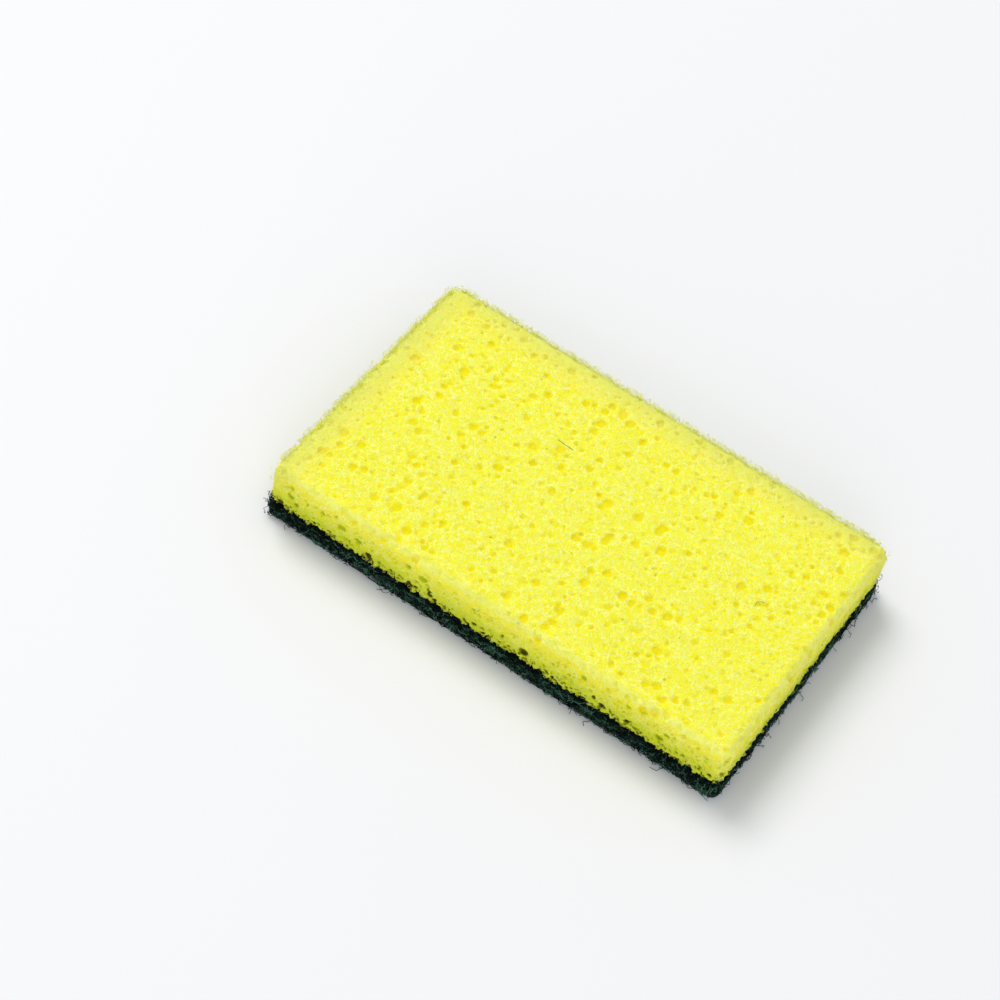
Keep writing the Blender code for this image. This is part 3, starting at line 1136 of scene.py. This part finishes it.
@dataclass
class LooseBits:
    """Bits of the pad's fibre that lie on the sponge: a straight hair, a curl and specks."""

    hair: tuple = ((-19.6 * MM, 15.5 * MM), (-14.1 * MM, 15.2 * MM))
    curl: tuple = (
        (56.5 * MM, 2.2 * MM),
        (56.3 * MM, 3.6 * MM),
        (57.0 * MM, 4.7 * MM),
        (58.1 * MM, 4.9 * MM),
    )
    thickness: float = 0.07 * MM
    specks: int = 16
    speck_length: float = 0.5 * MM
    shortest: float = 0.4
    spread: float = 0.9
    weld: float = 0.001 * MM
    seed: int = 91

    def build(self, foam: bpy.types.Object, high: Vector,
              material: bpy.types.Material) -> bpy.types.Object:
        """Build the bits as one piece that rests on the foam.

        Args:
            foam: The sponge's foam.
            high: The sponge block's highest corner.
            material: The fibre's material.

        Returns:
            The piece.
        """
        draw = random.Random(self.seed)
        paths = [self.hair, self.curl]
        for _ in range(self.specks):
            x = draw.uniform(-self.spread, self.spread) * high.x
            y = draw.uniform(-self.spread, self.spread) * high.y
            turn = draw.uniform(0.0, math.pi)
            longest = Vector((math.cos(turn), math.sin(turn))) * self.speck_length
            step = longest * draw.uniform(self.shortest, 1.0)
            paths.append(((x, y), (x + step.x, y + step.y)))
        data = bpy.data.curves.new("fibre_bits", "CURVE")
        data.dimensions = "3D"
        data.bevel_depth = self.thickness
        data.bevel_resolution = 1
        data.use_fill_caps = True
        for path in paths:
            level = max(self.surface(foam, x, y, high) for x, y in path) + self.thickness
            spline = data.splines.new("POLY")
            spline.points.add(len(path) - 1)
            for point, (x, y) in zip(spline.points, path):
                point.co = (x, y, level, 1.0)
        carrier = new_object("bits_raw", data)
        mesh = evaluated_mesh(carrier)
        bpy.data.objects.remove(carrier, do_unlink=True)
        welded = bmesh.new()
        welded.from_mesh(mesh)
        bmesh.ops.remove_doubles(welded, verts=welded.verts, dist=self.weld)
        bmesh.ops.recalc_face_normals(welded, faces=welded.faces)
        welded.to_mesh(mesh)
        welded.free()
        mesh.materials.clear()
        mesh.materials.append(material)
        return new_object("fibre_bits", mesh)

    @staticmethod
    def surface(foam: bpy.types.Object, x: float, y: float, high: Vector) -> float:
        """Return the foam's height at a place on its top."""
        found, place, _, _ = foam.ray_cast(Vector((x, y, high.z + 5.0 * MM)), Vector((0.0, 0.0, -1.0)))
        return place.z if found else high.z


@dataclass(frozen=True)
class SoftLamp:
    """A square lamp that faces the object."""

    name: str
    place: tuple[float, float, float]
    size: float
    power: float
    colour: tuple = (1.0, 0.985, 0.95)

    def hang(self) -> None:
        """Hang the lamp in its place."""
        data = bpy.data.lights.new(self.name, "AREA")
        data.size = self.size
        data.energy = self.power
        data.color = self.colour
        place = Vector(self.place)
        facing = (-place).to_track_quat("-Z", "Y").to_matrix().to_4x4()
        new_object(self.name, data).matrix_world = Matrix.Translation(place) @ facing


@dataclass
class Studio:
    """A pale floor, soft lamps and the camera."""

    aim: Vector = field(default_factory=lambda: Vector((-0.0203, -0.0139, 0.0213)))
    distance: float = 0.8276
    azimuth: float = 23.63
    elevation: float = 51.68
    roll: float = 13.26
    lens: float = 104.4
    sensor: float = 36.0
    clip: tuple = (0.01, 20.0)
    floor_reach: float = 3.0
    floor_colour: tuple = (0.845, 0.84, 0.845, 1.0)
    sky_colour: tuple = (0.91, 0.95, 1.0, 1.0)
    sky_strength: float = 0.62
    lamps: tuple[SoftLamp, ...] = (
        SoftLamp("key_lamp", (-2.40, 1.12, 3.68), 2.2, 119.0),
        SoftLamp("fill_lamp", (1.50, -3.00, 1.24), 2.4, 32.0),
    )

    def camera(self) -> None:
        """Place the camera at the photograph's angle."""
        data = bpy.data.cameras.new("camera")
        data.lens = self.lens
        data.sensor_width = self.sensor
        data.clip_start, data.clip_end = self.clip
        turned = math.radians(self.azimuth)
        raised = math.radians(self.elevation)
        back = Vector((
            math.sin(turned) * math.cos(raised),
            -math.cos(turned) * math.cos(raised),
            math.sin(raised),
        ))
        level = (-back).to_track_quat("-Z", "Y").to_matrix().to_4x4()
        tilt = Matrix.Rotation(math.radians(self.roll), 4, "Z")
        camera = new_object("camera", data)
        camera.matrix_world = Matrix.Translation(self.aim + back * self.distance) @ level @ tilt
        bpy.context.scene.camera = camera

    def floor(self) -> None:
        """Lay a large pale floor under the object."""
        mesh = bpy.data.meshes.new("floor")
        reach = self.floor_reach
        corners = [(-reach, -reach, 0.0), (reach, -reach, 0.0), (reach, reach, 0.0), (-reach, reach, 0.0)]
        mesh.from_pydata(corners, [], [(0, 1, 2, 3)])
        floor = new_object("floor", mesh)
        mesh.materials.append(Shader("floor_pale").finish(Base_Color=self.floor_colour, Roughness=0.6))

    def build(self) -> None:
        """Build the whole studio."""
        self.camera()
        self.floor()
        for lamp in self.lamps:
            lamp.hang()
        world = bpy.data.worlds.new("studio_light")
        world.use_nodes = True
        background = world.node_tree.nodes["Background"]
        background.inputs["Color"].default_value = self.sky_colour
        background.inputs["Strength"].default_value = self.sky_strength
        bpy.context.scene.world = world
        bpy.context.scene.view_settings.view_transform = "Standard"


def box_of(node: str) -> tuple[Vector, Vector]:
    """Return a node's lowest and highest corners as vectors."""
    low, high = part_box(node)
    return Vector(low), Vector(high)


def report(piece: bpy.types.Object) -> None:
    """Log a piece's name and how many triangles it has."""
    log.info("%s: %d triangles", piece.name, triangles(piece.data))


def hold(pieces: list[bpy.types.Object], node: str) -> None:
    """Let soft pieces ride with the body and stand for a node, whose part is hidden.

    Args:
        pieces: The pieces.
        node: The node that they replace.
    """
    for piece in pieces:
        report(piece)
        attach(piece, BODY)
        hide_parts(node)


def main() -> None:
    logging.basicConfig(level=logging.INFO, format="%(name)s: %(message)s")
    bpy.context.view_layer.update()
    block = SpongeBlock(*box_of("sponge"))
    foam = block.build(SpongeFinish().material(block))
    rim_material = RimFinish().material()
    rims = [
        CellRims(
            "foam_edge_rims", Zone.EDGES, density=5.4e6, ring=(0.25 * MM, 0.60 * MM),
            lift=(0.0, 1.7 * MM), thickness=0.05 * MM, corners=4, seed=61,
        ),
        CellRims(
            "foam_face_rims", Zone.FACES, density=0.20e6, ring=(0.25 * MM, 0.5 * MM),
            lift=(-0.15 * MM, 0.05 * MM), thickness=0.055 * MM, corners=5, seed=71,
        ),
    ]
    hold([foam] + [family.build(foam, block, rim_material) for family in rims], "sponge")
    hold(ScouringPad(*box_of("scouring_pad")).build(), "scouring_pad")
    bits = LooseBits().build(foam, block.high, WebFinish("loose_fibre").material())
    report(bits)
    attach(bits, BODY)
    Studio().build()


if __name__ == "__main__":
    main()
